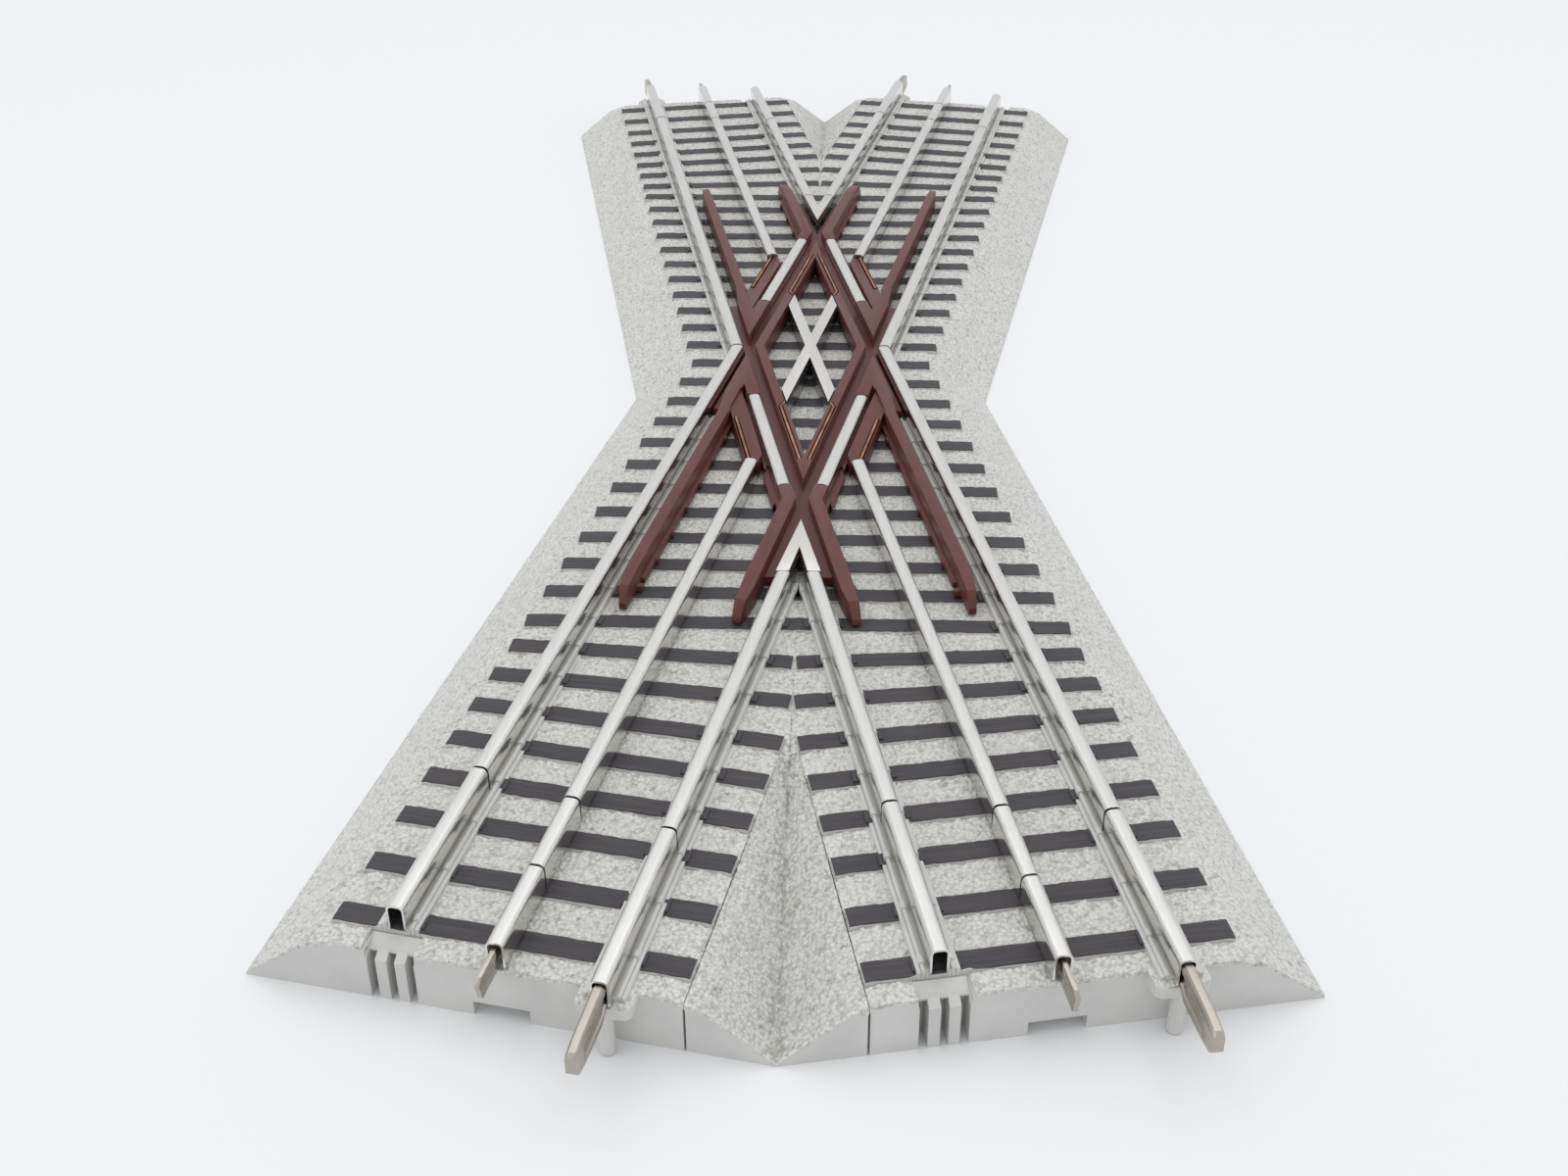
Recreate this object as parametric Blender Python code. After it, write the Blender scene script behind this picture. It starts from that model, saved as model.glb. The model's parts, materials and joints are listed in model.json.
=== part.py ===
"""A level crossing of two three-rail model railway tracks, on moulded ballast roadbed.

Frame: metres, +Z up. The origin is on the underside, below the point where the two track
centre lines cross. +Y runs midway between the tracks, away from the near ends, and +X to the right.

Track A runs from the near left end to the far right end, and track B from the near right end to the
far left end. Along a track, n is the distance to the right of its centre line and t the distance along
it, negative at the near end. A half turn about Z carries the whole object onto itself.
"""

import math

import bmesh
import bpy
from mathutils import Vector
from mathutils.geometry import delaunay_2d_cdt

MM = 0.001

# Angle of each track from the Y axis, half the crossing angle of 22.5 degrees.
HALF_ANGLE = math.radians(11.25)
TRACKS = {"A": 1, "B": -1}
# Each arm: its track, and 1 for a near arm or -1 for a far one.
ARMS = {
    "near_left": ("A", 1),
    "near_right": ("B", 1),
    "far_right": ("A", -1),
    "far_left": ("B", -1),
}

# Roadbed moulding.
HALF_LENGTH = 211.4
HALF_WIDTH = 41.9
SHOULDER_PROFILE = ((41.9, 0.5), (31.4, 8.6), (26.0, 10.0))
BALLAST_TOP = 10.0
SKIN = 1.4
SEAM_OFFSET = 28.4
FILLER_TIP = 153.5
SEAM_GAP = 0.35

# Ties: those near the middle lie across both tracks, the outer ones turn to stand square to one track.
TIE_HALF_LENGTH = 28.2
TIE_WIDTH = 4.2
TIE_TOP = 10.4
TIE_ROOT = 9.0
MIDDLE_TIE_PITCH = 10.4
MIDDLE_TIES = 11
ARM_TIES = ((127.6, 4.6), (138.5, 7.6), (149.4, 10.3), (159.9, 11.25), (170.6, 11.25), (181.2, 11.25),
            (193.0, 11.25), (204.9, 11.25))

# Rails.
RAIL_OFFSET = 17.3
RAIL_WIDTH = 2.9
RAIL_TOP = 15.3
RAIL_FOOT = 10.7
RAIL_WALL = 0.35
RAIL_CORNER = 1.0
CORNER_STEPS = 3
RAIL_GAP = 0.5
STAGGER = 4.0
SOCKET_JOINT = 172.9
PIN_JOINT = 180.7
CENTRE_JOINTS = (193.8, 176.9)
CENTRE_INNER_END = 59.0

# Low ridges of the roadbed on both sides of each running rail, from the rail's centre line outwards.
RIDGE = (2.65, 3.25)
RIDGE_TOP = 11.0

# End details of each arm, as offsets from its track's centre line.
SLOTS = ((-21.0, -19.6), (-17.8, -16.5), (-14.8, -13.4))
END_RECESS = (-21.2, -13.2)
SADDLE = (-21.4, -13.0)
SADDLE_TOP = 9.6
TONGUE_HALF_WIDTH = 4.4
TONGUE_CORNER = 1.6
POST_RADIUS = 1.25

# Crossing insert, from each track's centre line outwards.
INSERT_FOOT = 10.7
FLANGEWAY_FLOOR = 12.5
INNER_GUARD = (10.9, 13.05)
LONG_GUARD = (10.35, 12.75)
GUARD_NEAR_KNEE = 13.75
WING = (10.5, 13.3)
GUARD_STRAIGHT = 105.5
GUARD_TIP = 115.4
FLARE_STEPS = 4
FLARE_TUCK = 0.4
SEGMENT_ENDS = (24.1, 66.8)
RAMP_TOP = 14.4
GUARD_FOOT_TOP = 12.0
GROOVE_FLOOR = 13.2
GUARD_LUG_TIES = range(4, 11)
WING_LUG_TIES = range(8, 11)
FROG_JOINT = 103.3
FROG_TIP = 83.3
CASTING_WIDTH = 2.6
CASTING_REACH = 10.6

# Feed straps on the underside, which link the rails on either side of the crossing.
STRAP_PLACES = (-18.0, 0.0, 18.0)
STRAP_WIDTH = 4.0
STRAP_HALF_LENGTH = 50.0
STRAP_TOP = 1.4


def across(track, n, t):
    """The (x, y) of a place n to the right of a track's centre line and t along it."""
    lean = TRACKS[track]
    c, s = math.cos(HALF_ANGLE), math.sin(HALF_ANGLE)
    return (n * c + lean * t * s, -lean * n * s + t * c)


def offset(track, point):
    """How far a point lies to the right of a track's centre line."""
    lean = TRACKS[track]
    return point[0] * math.cos(HALF_ANGLE) - lean * point[1] * math.sin(HALF_ANGLE)


def along(track, point):
    """How far along a track a point lies."""
    lean = TRACKS[track]
    return lean * point[0] * math.sin(HALF_ANGLE) + point[1] * math.cos(HALF_ANGLE)


def clip(points, measure, low=-math.inf, high=math.inf):
    """The part of a convex outline where measure(point) lies between low and high."""
    for limit, sign in ((low, 1), (high, -1)):
        if math.isinf(limit):
            continue
        kept = []
        for start, end in zip(points, points[1:] + points[:1]):
            d0 = sign * (measure(start) - limit)
            d1 = sign * (measure(end) - limit)
            if d0 >= 0:
                kept.append(start)
            if d0 * d1 < 0:
                k = d0 / (d0 - d1)
                kept.append(tuple(p + k * (q - p) for p, q in zip(start, end)))
        points = kept
    return points


def band(track, low, high, reach=230.0):
    """A long strip of ground between two offsets from a track's centre line."""
    return [across(track, n, t) for n, t in ((low, -reach), (high, -reach), (high, reach), (low, reach))]


def crossed(low_a, high_a, low_b, high_b):
    """The parallelogram where a strip along track A crosses a strip along track B."""
    return clip(band("A", low_a, high_a), lambda p: offset("B", p), low_b, high_b)


def inside(point, outline):
    """Whether a point lies inside a closed outline."""
    found = False
    for (x0, y0), (x1, y1) in zip(outline, outline[1:] + outline[:1]):
        if (y0 > point[1]) != (y1 > point[1]) and point[0] < x0 + (point[1] - y0) / (y1 - y0) * (x1 - x0):
            found = not found
    return found


def counterclockwise(points):
    area = sum(p[0] * q[1] - q[0] * p[1] for p, q in zip(points, points[1:] + points[:1]))
    return points if area > 0 else points[::-1]


def mirrored(points, flip_x, flip_y):
    return [(x * flip_x, y * flip_y) for x, y in points]


def material(name, colour, roughness, metallic):
    found = bpy.data.materials.get(name)
    if found:
        return found
    made = bpy.data.materials.new(name)
    made.use_nodes = True
    shader = made.node_tree.nodes["Principled BSDF"]
    shader.inputs["Base Color"].default_value = (*colour, 1.0)
    shader.inputs["Roughness"].default_value = roughness
    shader.inputs["Metallic"].default_value = metallic
    return made


def ballast_material():
    return material("ballast_plastic", (0.56, 0.56, 0.53), 0.85, 0.0)


def nickel_material():
    return material("nickel_silver", (0.78, 0.77, 0.75), 0.3, 1.0)


def casting_material():
    return material("cast_metal", (0.74, 0.71, 0.66), 0.45, 1.0)


def insert_material():
    return material("brown_plastic", (0.25, 0.14, 0.13), 0.5, 0.0)


def copper_material():
    return material("copper_strip", (0.65, 0.38, 0.24), 0.35, 1.0)


def finish(name, mesh_builder, surface=None, helper=False):
    """Makes an object from a bmesh in millimetres, with the mesh in metres."""
    bmesh.ops.recalc_face_normals(mesh_builder, faces=mesh_builder.faces)
    bmesh.ops.scale(mesh_builder, vec=(MM, MM, MM), verts=mesh_builder.verts)
    mesh = bpy.data.meshes.new(name)
    mesh_builder.to_mesh(mesh)
    mesh_builder.free()
    made = bpy.data.objects.new(name, mesh)
    bpy.context.scene.collection.objects.link(made)
    if surface:
        mesh.materials.append(surface)
    if helper:
        made.hide_render = True
        made.display_type = "WIRE"
    return made


def add_loft(mesh_builder, start, end):
    """A closed solid between two outlines with the same number of points."""
    first = [mesh_builder.verts.new(p) for p in start]
    last = [mesh_builder.verts.new(p) for p in end]
    mesh_builder.faces.new(first)
    mesh_builder.faces.new(last[::-1])
    count = len(first)
    for i in range(count):
        j = (i + 1) % count
        mesh_builder.faces.new((first[j], first[i], last[i], last[j]))


def add_prism(mesh_builder, points, low, high):
    """A closed upright prism on an outline in the ground plane."""
    points = counterclockwise(points)
    add_loft(mesh_builder, [(x, y, low) for x, y in points], [(x, y, high) for x, y in points])


def prisms(name, shapes, helper=True, surface=None):
    """One object holding an upright prism for each (outline, low, high)."""
    builder = bmesh.new()
    for points, low, high in shapes:
        add_prism(builder, points, low, high)
    return finish(name, builder, surface, helper)


def boolean(target, operation, other):
    cut = target.modifiers.new(other.name, "BOOLEAN")
    cut.operation = operation
    cut.solver = "EXACT"
    cut.object = other


def roadbed_strip(name, track):
    """The ballast strip of one track as a long prism with sloping shoulders."""
    profile = [(HALF_WIDTH, 0.0), *SHOULDER_PROFILE]
    section = profile + [(-n, z) for n, z in reversed(profile)]
    builder = bmesh.new()
    ends = [[(*across(track, n, t), z) for n, z in section] for t in (-HALF_LENGTH, HALF_LENGTH)]
    add_loft(builder, *ends)
    return finish(name, builder, ballast_material(), helper=True)


def middle_tie(index):
    """The outline of a tie that lies along X across both tracks."""
    y = index * MIDDLE_TIE_PITCH
    half = (TIE_HALF_LENGTH + abs(y) * math.sin(HALF_ANGLE)) / math.cos(HALF_ANGLE)
    return [(-half, y - TIE_WIDTH / 2), (half, y - TIE_WIDTH / 2), (half, y + TIE_WIDTH / 2),
            (-half, y + TIE_WIDTH / 2)]


def arm_ties(track, turn):
    """The outlines of the ties of one arm beyond the middle ones, turning square to the track."""
    lean = TRACKS[track]
    found = []
    for distance, tilt_degrees in ARM_TIES:
        centre = across(track, 0.0, -turn * distance)
        tilt = -lean * math.radians(tilt_degrees)
        c, s = math.cos(tilt), math.sin(tilt)
        corners = [(-TIE_HALF_LENGTH, -TIE_WIDTH / 2), (TIE_HALF_LENGTH, -TIE_WIDTH / 2),
                   (TIE_HALF_LENGTH, TIE_WIDTH / 2), (-TIE_HALF_LENGTH, TIE_WIDTH / 2)]
        outline = [(centre[0] + u * c - v * s, centre[1] + u * s + v * c) for u, v in corners]
        side = turn * lean
        found.append(clip(outline, lambda p: side * p[0], high=-0.4))
    return found


def arm_outline(track, turn, points):
    """Places an outline given for a near arm as (n, t) on any arm."""
    return [across(track, turn * n, turn * t) for n, t in points]


def rectangle(low_n, high_n, low_t, high_t):
    return [(low_n, low_t), (high_n, low_t), (high_n, high_t), (low_n, high_t)]


def filler_outline(sign, gap):
    """The wedge between the two arms; sign -1 is the near one. gap is taken off every side."""
    seam = SEAM_OFFSET + gap
    outline = crossed(seam, 400.0, -400.0, -seam)
    outline = clip(outline, lambda p: p[1], low=-240.0, high=-(FILLER_TIP + gap))
    return mirrored(outline, 1, -sign)


def underside_cells():
    """The hollows between the ribs on the underside of the roadbed."""
    columns = ((-31.0, -19.8), (-15.2, -1.3), (1.3, 15.2), (19.8, 31.0))
    rows = [(-202.0 + 26.4 * k, -177.4 + 26.4 * k) for k in range(5)]
    cells = []
    for track, turn in ARMS.values():
        lean = TRACKS[track] * turn
        for low_n, high_n in columns:
            for low_t, high_t in rows:
                cell = arm_outline(track, turn, rectangle(low_n, high_n, low_t, high_t))
                cell = clip(cell, lambda p: lean * p[0], high=-1.0)
                cell = clip(cell, lambda p: lean * offset(track, p), high=SEAM_OFFSET - SKIN)
                if len(cell) > 2:
                    cells.append((cell, -1.0, BALLAST_TOP - 2.6))
    for low_y in (-54.0, -26.0, 1.4, 29.4):
        for low_x, high_x in ((-29.0, -10.8), (-9.0, 9.0), (10.8, 29.0)):
            cells.append((rectangle(low_x, high_x, low_y, low_y + 24.6), -1.0, BALLAST_TOP - 2.6))
    return cells


def build_roadbed():
    strips = {track: roadbed_strip("strip_" + track, track) for track in TRACKS}
    bed = strips["A"]
    bed.name = "roadbed"
    bed.hide_render = False
    bed.display_type = "TEXTURED"
    boolean(bed, "UNION", strips["B"])
    notches = [(filler_outline(sign, -SEAM_GAP / 2), -5.0, 30.0) for sign in (-1, 1)]
    boolean(bed, "DIFFERENCE", prisms("filler_notches", notches))
    ties = [middle_tie(k) for k in range(-MIDDLE_TIES, MIDDLE_TIES + 1)]
    for track, turn in ARMS.values():
        ties += arm_ties(track, turn)
    boolean(bed, "UNION", prisms("tie_blocks", [(tie, TIE_ROOT, TIE_TOP) for tie in ties]))

    boolean(bed, "UNION", prisms("rail_ridges", [(ridge, TIE_ROOT, RIDGE_TOP) for ridge in rail_ridges()]))

    tongues, posts, saddles, grooves, notches = [], [], [], [], []
    for track, turn in ARMS.values():
        def place(points):
            return arm_outline(track, turn, points)
        tongues.append((place(tongue_outline()), 8.2, BALLAST_TOP + 0.1))
        ring = [(RAIL_OFFSET + POST_RADIUS * math.cos(k * math.pi / 6),
                 -HALF_LENGTH - 2.5 + POST_RADIUS * math.sin(k * math.pi / 6)) for k in range(12)]
        posts.append((place(ring), 0.2, 9.0))
        saddles.append((place(rectangle(*SADDLE, -HALF_LENGTH + 1.6, -HALF_LENGTH + 4.3)), 8.4, SADDLE_TOP))
        for low, high in SLOTS:
            grooves.append([[(*across(track, turn * n, turn * t), z) for t, z in groove_profile()]
                            for n in (low, high)])
        notches.append((place(rectangle(-4.5, 4.5, -HALF_LENGTH - 3.0, -HALF_LENGTH + 4.0)), -5.0, 2.6))
    boolean(bed, "UNION", prisms("end_tongues", tongues))
    boolean(bed, "UNION", prisms("end_posts", posts))
    for arm, (track, turn) in ARMS.items():
        boolean(bed, "DIFFERENCE", end_recess(arm, track, turn))
    boolean(bed, "UNION", prisms("end_saddles", saddles))
    builder = bmesh.new()
    for groove in grooves:
        add_loft(builder, *groove)
    boolean(bed, "DIFFERENCE", finish("end_grooves", builder, helper=True))
    boolean(bed, "DIFFERENCE", prisms("end_notches", notches))
    boolean(bed, "DIFFERENCE", prisms("underside_cells", underside_cells()))
    channels = [(strap_outline(x, STRAP_WIDTH / 2 + 0.4), -2.0, STRAP_TOP + 0.4) for x in STRAP_PLACES]
    boolean(bed, "DIFFERENCE", prisms("strap_channels", channels))


def rail_ridges():
    """The outlines of the ridges, each ending short of the crossing insert or at the middle line."""
    found = []
    for track, turn in ARMS.values():
        lean = TRACKS[track]
        for kind, side, end in (("socket", -1, HALF_LENGTH - STAGGER - 0.3), ("pin", 1, HALF_LENGTH + 2.4)):
            outward = side * lean < 0
            for face in (-1, 1):
                inner = 1.0 if outward else FROG_JOINT - 6.6
                if face * side < 0:
                    inner = 34.0 if outward else FROG_JOINT + 3.4
                ends = sorted(side * RAIL_OFFSET + face * reach for reach in RIDGE)
                ridge = arm_outline(track, turn, rectangle(*ends, -end, -inner))
                ridge = clip(ridge, lambda p: turn * p[1], high=-0.2)
                found.append(clip(ridge, lambda p: turn * lean * p[0], high=-0.2))
    return found


def tongue_outline():
    """The rounded shelf under the end of a pin rail, as (n, t) on a near arm."""
    points = [(RAIL_OFFSET + TONGUE_HALF_WIDTH, -HALF_LENGTH + 2.0)]
    for side, first in ((1, 0.0), (-1, -math.pi / 2)):
        middle = RAIL_OFFSET + side * (TONGUE_HALF_WIDTH - TONGUE_CORNER)
        for k in range(CORNER_STEPS + 1):
            angle = first - k * (math.pi / 2) / CORNER_STEPS
            points.append((middle + TONGUE_CORNER * math.cos(angle),
                           -HALF_LENGTH - STAGGER + TONGUE_CORNER + TONGUE_CORNER * math.sin(angle)))
    points.append((RAIL_OFFSET - TONGUE_HALF_WIDTH, -HALF_LENGTH + 2.0))
    return points


def groove_profile():
    """The (t, z) outline of a slot between two end fins: open above, and closed under the saddle."""
    front, back = -HALF_LENGTH - 2.0, -HALF_LENGTH + STAGGER - 0.3
    mouth = -HALF_LENGTH + 1.45
    return ((front, -5.0), (back, -5.0), (back, 8.2), (mouth, 8.2), (mouth, 12.0), (front, 12.0))


def end_recess(arm, track, turn):
    """The cut above the fins at a socket rail's end, with a floor that slopes down outwards."""
    profile = ((-HALF_LENGTH - 3.0, 6.0), (-HALF_LENGTH + 1.8, 8.8), (-HALF_LENGTH + 4.0, 8.8),
               (-HALF_LENGTH + 4.0, 30.0), (-HALF_LENGTH - 3.0, 30.0))
    builder = bmesh.new()
    add_loft(builder, *[[(*across(track, turn * n, turn * t), z) for t, z in profile] for n in END_RECESS])
    return finish(arm + "_end_recess", builder, ballast_material(), helper=True)


def strap_outline(x, half_width):
    """A feed strap along Y on the underside, or the channel that it lies in."""
    half_length = STRAP_HALF_LENGTH + half_width - STRAP_WIDTH / 2
    return rectangle(x - half_width, x + half_width, -half_length, half_length)


def build_straps():
    for name, x in zip(("left_return_strap", "centre_feed_strap", "right_return_strap"), STRAP_PLACES):
        prisms(name, [(strap_outline(x, STRAP_WIDTH / 2), 0.8, STRAP_TOP)], False, copper_material())


def build_filler(name, sign):
    """The snap-in wedge of ballast between two arms."""
    filler = prisms(name, [(filler_outline(sign, SEAM_GAP / 2), -5.0, 30.0)], False, ballast_material())
    strip_a, strip_b = (roadbed_strip(name + "_" + track, track) for track in TRACKS)
    boolean(strip_a, "UNION", strip_b)
    boolean(filler, "INTERSECT", strip_a)
    pocket = clip(filler_outline(sign, 2.0), lambda p: -sign * p[1] * -1, low=158.0, high=176.0)
    boolean(filler, "DIFFERENCE", prisms(name + "_pocket", [(pocket, -5.0, 3.6)]))


def rail_section(width, foot, top, corner):
    """The outline of half the sheet that a rail is folded from, as (n, z), from foot to foot."""
    half = width / 2
    points = [(-half, foot)]
    for side, first in ((-1, math.pi), (1, math.pi / 2)):
        for k in range(CORNER_STEPS + 1):
            angle = first - k * (math.pi / 2) / CORNER_STEPS
            points.append((side * (half - corner) + corner * math.cos(angle),
                           top - corner + corner * math.sin(angle)))
    points.append((half, foot))
    return points


def build_rail(name, track, centre, start, end, foot=RAIL_FOOT, mitres=(None, None)):
    """A hollow rail folded from sheet, open below. A mitre is the y at which that end is cut."""
    outer = rail_section(RAIL_WIDTH, foot, RAIL_TOP, RAIL_CORNER)
    inner = rail_section(RAIL_WIDTH - 2 * RAIL_WALL, foot, RAIL_TOP - RAIL_WALL, RAIL_CORNER - RAIL_WALL)
    section = outer + inner[::-1]
    ends = []
    for t, mitre in ((start, mitres[0]), (end, mitres[1])):
        ring = []
        for n, z in section:
            offset_n = centre + n
            place = t
            if mitre is not None:
                lean = TRACKS[track]
                place = (mitre + lean * offset_n * math.sin(HALF_ANGLE)) / math.cos(HALF_ANGLE)
            ring.append((*across(track, offset_n, place), z))
        ends.append(ring)
    builder = bmesh.new()
    first, last = ([builder.verts.new(p) for p in ring] for ring in ends)
    count, half = len(section), len(outer)
    for i in range(count):
        j = (i + 1) % count
        builder.faces.new((first[i], first[j], last[j], last[i]))
    for ring in (first, last):
        for i in range(half - 1):
            builder.faces.new((ring[i], ring[i + 1], ring[count - 2 - i], ring[count - 1 - i]))
    finish(name, builder, nickel_material())


def build_arm_rails(arm, track, turn):
    """The seven lengths of rail in one arm, from its end inwards."""
    gap = RAIL_GAP / 2
    lean = TRACKS[track]
    knee = -turn * gap
    frog = -turn * (FROG_JOINT + gap)
    for kind, side, joint, outer_end in (("socket", -1, SOCKET_JOINT, HALF_LENGTH - STAGGER),
                                         ("pin", 1, PIN_JOINT, HALF_LENGTH + STAGGER)):
        centre = side * turn * RAIL_OFFSET
        build_rail(f"{arm}_{kind}_rail_end", track, centre, -turn * outer_end, -turn * (joint + gap))
        inner_cut = knee if side * lean < 0 else frog
        build_rail(f"{arm}_{kind}_rail", track, centre, -turn * (joint - gap), 0.0, mitres=(None, inner_cut))
    outer_joint, inner_joint = CENTRE_JOINTS
    build_rail(f"{arm}_centre_rail_end", track, 0.0, -turn * HALF_LENGTH, -turn * (outer_joint + gap))
    build_rail(f"{arm}_centre_rail_link", track, 0.0,
               -turn * (outer_joint - gap), -turn * (inner_joint + gap))
    build_rail(f"{arm}_centre_rail", track, 0.0, -turn * (inner_joint - gap), -turn * CENTRE_INNER_END)


def build_pin(arm, track, turn):
    """The folded joiner pin that a neighbouring hollow rail pushes onto.

    A groove runs along each side and fades out before the tip. Each section is its place along the
    track, half width, lowest and highest z, and depth of groove.
    """
    sections = ((-203.0, 0.97, 10.9, 14.7, 0.3), (-216.0, 0.97, 10.4, 14.6, 0.3),
                (-217.6, 0.97, 9.3, 14.5, 0.3), (-224.0, 0.97, 9.3, 14.2, 0.3),
                (-225.6, 0.96, 9.4, 14.0, 0.03), (-227.5, 0.93, 9.6, 13.7, 0.03),
                (-228.3, 0.84, 10.3, 13.1, 0.03))
    builder = bmesh.new()
    rings = []
    for t, half, low, high, groove in sections:
        right = [(half, low), (half, low + 0.16 * (high - low)), (half - groove, low + 0.22 * (high - low)),
                 (half - groove, high - 0.36 * (high - low)), (half, high - 0.30 * (high - low)),
                 (half, high - 0.14 * (high - low)), (0.55 * half, high)]
        outline = right + [(-n, z) for n, z in reversed(right)]
        rings.append([builder.verts.new((*across(track, turn * (RAIL_OFFSET + n), turn * t), z))
                      for n, z in outline])
    for first, last in zip(rings, rings[1:]):
        for i in range(len(first)):
            j = (i + 1) % len(first)
            builder.faces.new((first[i], first[j], last[j], last[i]))
    for ring in (rings[0], rings[-1]):
        builder.faces.new(ring)
    finish(f"{arm}_joiner_pin", builder, casting_material())


def build_blade(arm, track, turn):
    """The flat contact blade that links two centre rails."""
    profile = ((-198.0, 11.0), (-198.0, 14.4), (-217.4, 14.4), (-218.6, 13.4),
               (-217.8, 10.5), (-212.0, 10.5))
    builder = bmesh.new()
    sides = [[(*across(track, turn * n, turn * t), z) for t, z in profile] for n in (-0.4, 0.4)]
    add_loft(builder, *sides)
    finish(f"{arm}_centre_blade", builder, casting_material())


def build_segments():
    """The short lengths of rail in the four sides of the diamond."""
    near, far = SEGMENT_ENDS
    for name, track, side, sign in (("near_left", "B", -1, -1), ("near_right", "A", 1, -1),
                                    ("far_right", "B", 1, 1), ("far_left", "A", -1, 1)):
        build_rail(f"{name}_diamond_rail", track, side * RAIL_OFFSET, sign * near, sign * far,
                   foot=FLANGEWAY_FLOOR + 0.3)


def build_frog_point(name, sign):
    """The cast point where the two inner rails of a pair of arms meet."""
    face = RAIL_OFFSET - RAIL_WIDTH / 2
    back = face + CASTING_WIDTH
    lean_x = math.sin(HALF_ANGLE) / math.cos(HALF_ANGLE)

    def at(n, y):
        return (n / math.cos(HALF_ANGLE) - y * lean_x, -y)
    crotch = back / math.sin(HALF_ANGLE)
    half = [(0.0, -FROG_TIP), at(face, FROG_JOINT), at(back, FROG_JOINT), (0.0, -crotch)]
    outline = half + [(-x, y) for x, y in reversed(half[1:-1])]
    prisms(name, [(mirrored(outline, 1, -sign), RAIL_FOOT, RAIL_TOP)], False, casting_material())


def build_centre_casting():
    """The X where the two centre rails cross."""
    half = CASTING_WIDTH / 2
    arm_a = crossed(-half, half, -CASTING_REACH, CASTING_REACH)
    arm_b = crossed(-CASTING_REACH, CASTING_REACH, -half, half)
    casting = prisms("centre_crossing_casting", [(arm_a, RAIL_FOOT, RAIL_TOP)], False, casting_material())
    boolean(casting, "UNION", prisms("centre_crossing_arm", [(arm_b, RAIL_FOOT - 0.01, RAIL_TOP + 0.01)]))


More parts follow.
